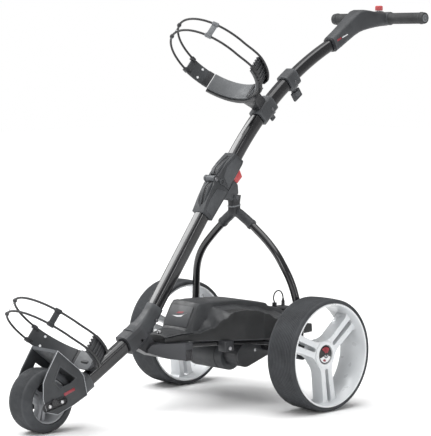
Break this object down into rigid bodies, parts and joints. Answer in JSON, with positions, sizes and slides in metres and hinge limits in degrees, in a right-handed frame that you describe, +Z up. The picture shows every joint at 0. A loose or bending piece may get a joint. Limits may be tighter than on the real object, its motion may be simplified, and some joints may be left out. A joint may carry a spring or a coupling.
{
  "type": "electric golf trolley",
  "caption": "Folding electric golf trolley with a powered rear axle, curved telescoping handle, battery cover and strap cradles for a golf bag.",
  "frame": {"origin": "middle of the footprint on the ground, under the middle of the bounding box", "axes": "+Z up; the trolley travels towards -Y and its handle points to +Y; +X is the trolley's left side, along the rear axle"},
  "size_m": [0.59, 1.232, 0.979],
  "materials": {
    "gloss_black": "gloss black enamel",
    "moulded_grey": "fine moulded texture, dark grey",
    "cover_black": "satin moulded black",
    "tyre": "ribbed dark grey tread",
    "rim_silver": "light silver paint on moulded plastic",
    "rim_grey": "light grey moulded",
    "grip": "soft ribbed grip",
    "red": "red moulded",
    "cord": "elastic cord",
    "steel": "machined steel",
    "cap_black": "gloss black",
    "battery": "matte casing"
  },
  "bodies": {
    "frame": {"lower_tube": "gloss_black", "fork_cheek_left": "moulded_grey", "fork_cheek_right": "moulded_grey", "fork_bridge": "moulded_grey", "front_axle_bolt": "steel", "hinge_lower": "moulded_grey", "hinge_pin": "steel", "wishbone_yoke": "moulded_grey", "wishbone_leg_left": "gloss_black", "wishbone_leg_right": "gloss_black", "chassis_node": "moulded_grey", "chassis_rail_left": "gloss_black", "chassis_rail_right": "gloss_black", "axle_bearing_left": "moulded_grey", "axle_bearing_right": "moulded_grey", "axle_tube_left": "gloss_black", "axle_tube_right": "gloss_black", "gearbox_housing": "moulded_grey", "gearbox_cover": "moulded_grey", "motor_can": "cover_black", "battery_cover": "cover_black", "battery_tray": "moulded_grey", "battery": "battery", "battery_lead": "cord", "lead_plug": "cap_black", "lead_socket": "moulded_grey", "lower_cradle_base": "moulded_grey", "lower_cradle_arm_left": "moulded_grey", "lower_cradle_arm_right": "moulded_grey", "lower_bag_strap": "cord"},
    "upper_frame": {"upper_tube": "gloss_black", "hinge_upper": "moulded_grey", "height_collar": "moulded_grey", "upper_cradle_base": "moulded_grey", "upper_cradle_arm_left": "moulded_grey", "upper_cradle_arm_right": "moulded_grey", "upper_cradle_clamp": "moulded_grey", "upper_bag_strap": "cord"},
    "latch": {"latch_catch": "red"},
    "cradle_clamp_knob": {"cradle_knob": "moulded_grey"},
    "height_clamp_knob": {"height_knob": "moulded_grey"},
    "handle": {"handle_tube": "gloss_black", "handle_console": "moulded_grey", "t_bar": "steel", "grip_left": "grip", "grip_right": "grip"},
    "dial_stem": {"dial_plunger": "steel"},
    "dial": {"speed_dial": "red"},
    "front_wheel": {"front_tyre": "tyre", "front_rim": "rim_grey"},
    "left_wheel": {"left_tyre": "tyre", "left_rim": "rim_silver"},
    "right_wheel": {"right_tyre": "tyre", "right_rim": "rim_silver"},
    "left_button": {"left_release_button": "cap_black"},
    "right_button": {"right_release_button": "cap_black"},
    "axle": {"drive_axle": "steel", "output_gear": "steel"},
    "idler": {"idler_gear": "steel"},
    "motor": {"motor_shaft": "steel"}
  },
  "joints": [
    {"name": "front_wheel_spin", "type": "hinge", "parent": "frame", "child": "front_wheel", "pos_m": [0, -0.5425, 0.0735], "axis": [1, 0, 0], "continuous": true},
    {"name": "frame_fold", "type": "hinge", "parent": "frame", "child": "upper_frame", "pos_m": [0, -0.01189, 0.55148], "axis": [1, 0, 0], "range_deg": [0, 150], "deforming": ["upper_bag_strap"]},
    {"name": "latch_open", "type": "hinge", "parent": "frame", "child": "latch", "pos_m": [0, 0.06165, 0.54547], "axis": [1, 0, 0], "range_deg": [-15, 0], "stiffness_Nm_per_rad": 0.05, "springref_deg": 5.73},
    {"name": "cradle_knob_turn", "type": "hinge", "parent": "upper_frame", "child": "cradle_clamp_knob", "pos_m": [0, 0.19475, 0.70066], "axis": [0, 0.6769, -0.7361], "range_deg": [0, 360]},
    {"name": "height_knob_turn", "type": "hinge", "parent": "upper_frame", "child": "height_clamp_knob", "pos_m": [0, 0.27532, 0.76631], "axis": [0, 0.5843, -0.8116], "range_deg": [0, 360]},
    {"name": "handle_height", "type": "hinge", "parent": "upper_frame", "child": "handle", "pos_m": [0, 0.7835, 0.0604], "axis": [1, 0, 0], "range_deg": [-1.5, 4.5]},
    {"name": "dial_push", "type": "slide", "parent": "handle", "child": "dial_stem", "axis": [0, 0, -1], "range_m": [0, 0.0015], "stiffness_N_per_m": 400, "springref_m": -0.002},
    {"name": "dial_turn", "type": "hinge", "parent": "dial_stem", "child": "dial", "pos_m": [0, 0.5985, 0.965], "axis": [0, 0, 1], "range_deg": [0, 270]},
    {"name": "left_wheel_spin", "type": "hinge", "parent": "frame", "child": "left_wheel", "pos_m": [0.251, 0.1075, 0.136], "axis": [1, 0, 0], "continuous": true},
    {"name": "right_wheel_spin", "type": "hinge", "parent": "frame", "child": "right_wheel", "pos_m": [-0.251, 0.1075, 0.136], "axis": [1, 0, 0], "continuous": true},
    {"name": "left_button_push", "type": "slide", "parent": "left_wheel", "child": "left_button", "axis": [-1, 0, 0], "range_m": [0, 0.003], "stiffness_N_per_m": 300, "springref_m": -0.003},
    {"name": "right_button_push", "type": "slide", "parent": "right_wheel", "child": "right_button", "axis": [1, 0, 0], "range_m": [0, 0.003], "stiffness_N_per_m": 300, "springref_m": -0.003},
    {"name": "axle_spin", "type": "hinge", "parent": "frame", "child": "axle", "pos_m": [0, 0.1075, 0.136], "axis": [1, 0, 0], "continuous": true},
    {"name": "idler_spin", "type": "hinge", "parent": "frame", "child": "idler", "pos_m": [0, 0.07688, 0.12652], "axis": [1, 0, 0], "continuous": true},
    {"name": "motor_spin", "type": "hinge", "parent": "frame", "child": "motor", "pos_m": [0, 0.04627, 0.11704], "axis": [1, 0, 0], "continuous": true}
  ],
  "couplings": [
    {"joint": "right_wheel_spin", "follows": "left_wheel_spin", "ratio": 1},
    {"joint": "axle_spin", "follows": "left_wheel_spin", "ratio": 1},
    {"joint": "idler_spin", "follows": "left_wheel_spin", "ratio": -3},
    {"joint": "motor_spin", "follows": "left_wheel_spin", "ratio": 9}
  ]
}
